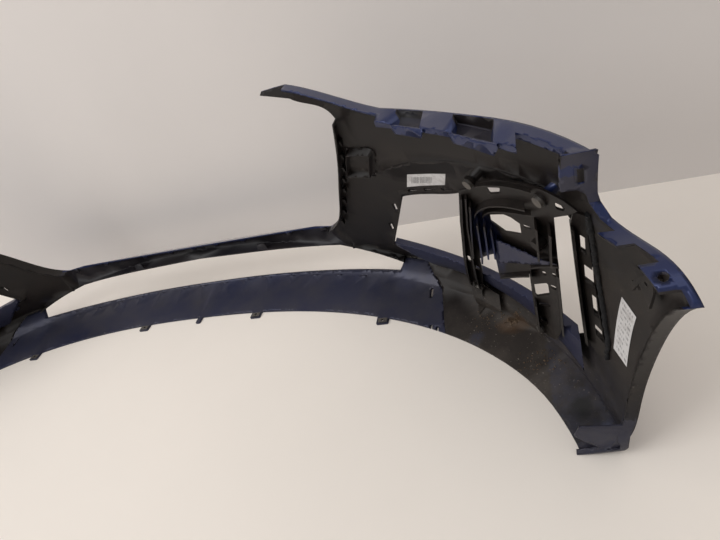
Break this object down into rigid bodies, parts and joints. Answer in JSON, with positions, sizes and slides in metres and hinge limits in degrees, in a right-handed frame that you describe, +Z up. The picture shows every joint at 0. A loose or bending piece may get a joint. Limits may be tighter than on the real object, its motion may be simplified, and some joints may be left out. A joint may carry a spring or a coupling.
{
  "type": "front bumper cover",
  "caption": "Painted front bumper cover with grille and side-intake openings, lower lip, air-duct carriers and a hinged towing-eye panel.",
  "frame": {"origin": "middle of the footprint, on the floor the cover stands on", "axes": "+X to the car's left, +Y to the car's rear (the nose points to -Y), +Z up"},
  "size_m": [1.756, 0.59, 0.462],
  "materials": {
    "paint": "dark blue metallic lacquer outside, bare dark plastic inside",
    "lip_plastic": "matt, with thin dark blue spray",
    "black_plastic": "moulded, matt",
    "zinc": "dull zinc plate",
    "label": "plain white sticker"
  },
  "bodies": {
    "cover": {"cover_skin": "paint", "lower_lip": "lip_plastic", "intake_blade_l": "paint", "intake_blade_r": "paint", "intake_carrier_l": "black_plastic", "intake_carrier_r": "black_plastic", "duct_funnel_l": "lip_plastic", "duct_funnel_r": "lip_plastic", "curtain_frame_l": "black_plastic", "curtain_frame_r": "black_plastic", "grille_rail_l": "black_plastic", "grille_rail_r": "black_plastic", "fender_hook_l": "black_plastic", "fender_hook_r": "black_plastic", "carrier_screws_l": "zinc", "carrier_screws_r": "zinc", "tray_nuts": "zinc", "part_label": "label", "tape_label": "label"},
    "tow_panel": {"tow_eye_cover": "paint"}
  },
  "joints": [
    {"name": "tow_cover_hinge", "type": "hinge", "parent": "cover", "child": "tow_panel", "pos_m": [-0.47178, -0.141, 0.31504], "axis": [-0.3631, 0.453, 0.8142], "range_deg": [0, 60]}
  ]
}
